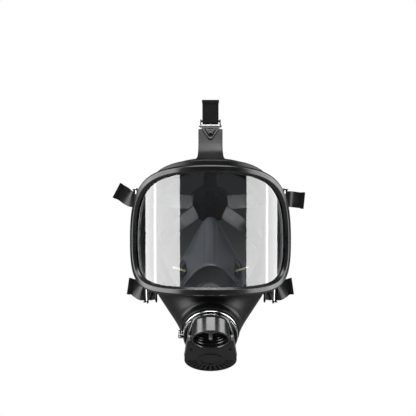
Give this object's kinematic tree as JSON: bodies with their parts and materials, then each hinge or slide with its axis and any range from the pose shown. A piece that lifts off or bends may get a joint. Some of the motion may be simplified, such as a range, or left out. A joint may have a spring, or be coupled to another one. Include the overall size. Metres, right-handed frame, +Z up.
{
  "type": "full face respirator",
  "caption": "Full face mask with a wide bent visor, inner nose cup, threaded filter connector, slotted exhalation valve cover and rubber head harness.",
  "frame": {"origin": "between the wearer's eyes, in the middle of the head", "axes": "+Z up, -Y the way the mask faces, +X the wearer's left"},
  "size_m": [0.2433, 0.29, 0.3276],
  "materials": {
    "rubber": "satin moulded rubber",
    "visor_clear": "clear polycarbonate",
    "frame_plastic": "satin black",
    "fastener_steel": "plated",
    "cup_rubber": "smooth dark grey rubber",
    "valve_plastic": "satin black",
    "valve_silicone": "thin grey silicone",
    "brass": "pale polished",
    "housing_plastic": "gloss black",
    "seat_plastic": "satin grey",
    "cover_plastic": "satin dark grey",
    "band_steel": "polished steel",
    "buckle_black": "gloss black lacquer",
    "buckle_steel": "polished steel",
    "strap_rubber": "ribbed dark rubber"
  },
  "bodies": {
    "root": {"facepiece_body": "rubber", "connector_gasket": "rubber", "visor": "visor_clear", "visor_frame_upper": "frame_plastic", "visor_frame_lower": "frame_plastic", "frame_screw_left": "fastener_steel", "frame_screw_right": "fastener_steel", "frame_nut_left": "fastener_steel", "frame_nut_right": "fastener_steel", "nose_cup": "cup_rubber", "cheek_valve_seat_left": "valve_plastic", "cheek_valve_seat_right": "valve_plastic", "exhalation_valve_seat": "valve_plastic", "cheek_valve_pin_left": "brass", "cheek_valve_pin_right": "brass", "port_housing": "housing_plastic", "filter_connector": "housing_plastic", "inhalation_valve_seat": "seat_plastic", "exhalation_cover": "cover_plastic", "cover_screw_left": "cover_plastic", "cover_screw_right": "cover_plastic", "clamp_band": "band_steel", "clamp_screw": "band_steel", "exhalation_spring": "band_steel", "buckle_plate_top": "buckle_black", "buckle_plate_temple_left": "buckle_black", "buckle_plate_temple_right": "buckle_black", "buckle_plate_cheek_left": "buckle_black", "buckle_plate_cheek_right": "buckle_black", "buckle_rivet_top": "buckle_black", "buckle_rivet_temple_left": "buckle_black", "buckle_rivet_temple_right": "buckle_black", "buckle_rivet_cheek_left": "buckle_black", "buckle_rivet_cheek_right": "buckle_black", "buckle_pin_top": "buckle_steel", "buckle_pin_temple_left": "buckle_steel", "buckle_pin_temple_right": "buckle_steel", "buckle_pin_cheek_left": "buckle_steel", "buckle_pin_cheek_right": "buckle_steel", "head_harness": "strap_rubber"},
    "lever_top": {"buckle_lever_top": "buckle_black", "strap_tail_top": "strap_rubber"},
    "lever_temple_left": {"buckle_lever_temple_left": "buckle_black", "strap_tail_temple_left": "strap_rubber"},
    "lever_temple_right": {"buckle_lever_temple_right": "buckle_black", "strap_tail_temple_right": "strap_rubber"},
    "lever_cheek_left": {"buckle_lever_cheek_left": "buckle_black", "strap_tail_cheek_left": "strap_rubber"},
    "lever_cheek_right": {"buckle_lever_cheek_right": "buckle_black", "strap_tail_cheek_right": "strap_rubber"},
    "exhalation_flap": {"exhalation_valve_disc": "rubber"},
    "inhalation_flap": {"inhalation_valve_disc": "rubber"},
    "cheek_flap_left": {"cheek_valve_disc_left": "valve_silicone"},
    "cheek_flap_right": {"cheek_valve_disc_right": "valve_silicone"}
  },
  "joints": [
    {"name": "lever_top_hinge", "type": "hinge", "parent": "root", "child": "lever_top", "pos_m": [0, -0.074, 0.1115], "axis": [1, 0, 0], "range_deg": [0, 40], "stiffness_Nm_per_rad": 0.01, "springref_deg": -5.73},
    {"name": "lever_temple_left_hinge", "type": "hinge", "parent": "root", "child": "lever_temple_left", "pos_m": [0.093, -0.046, 0.02], "axis": [0, 0, -1], "range_deg": [0, 40], "stiffness_Nm_per_rad": 0.01, "springref_deg": -5.73},
    {"name": "lever_temple_right_hinge", "type": "hinge", "parent": "root", "child": "lever_temple_right", "pos_m": [-0.093, -0.046, 0.02], "axis": [0, 0, 1], "range_deg": [0, 40], "stiffness_Nm_per_rad": 0.01, "springref_deg": -5.73},
    {"name": "lever_cheek_left_hinge", "type": "hinge", "parent": "root", "child": "lever_cheek_left", "pos_m": [0.08, -0.05, -0.097], "axis": [-0.042, -0.2063, -0.9776], "range_deg": [0, 40], "stiffness_Nm_per_rad": 0.01, "springref_deg": -5.73},
    {"name": "lever_cheek_right_hinge", "type": "hinge", "parent": "root", "child": "lever_cheek_right", "pos_m": [-0.08, -0.05, -0.097], "axis": [-0.042, 0.2063, 0.9776], "range_deg": [0, 40], "stiffness_Nm_per_rad": 0.01, "springref_deg": -5.73},
    {"name": "exhalation_valve_lift", "type": "slide", "parent": "root", "child": "exhalation_flap", "axis": [0, -0.6018, -0.7986], "range_m": [0, 0.0022], "stiffness_N_per_m": 100, "springref_m": -0.002, "deforming": ["exhalation_spring"]},
    {"name": "inhalation_valve_lift", "type": "slide", "parent": "root", "child": "inhalation_flap", "axis": [0, 0.6018, 0.7986], "range_m": [0, 0.002], "stiffness_N_per_m": 30, "springref_m": -0.002},
    {"name": "cheek_valve_lift_left", "type": "slide", "parent": "root", "child": "cheek_flap_left", "axis": [-0.8688, 0.3868, -0.309], "range_m": [0, 0.002], "stiffness_N_per_m": 30, "springref_m": -0.002},
    {"name": "cheek_valve_lift_right", "type": "slide", "parent": "root", "child": "cheek_flap_right", "axis": [0.8688, 0.3868, -0.309], "range_m": [0, 0.002], "stiffness_N_per_m": 30, "springref_m": -0.002}
  ]
}
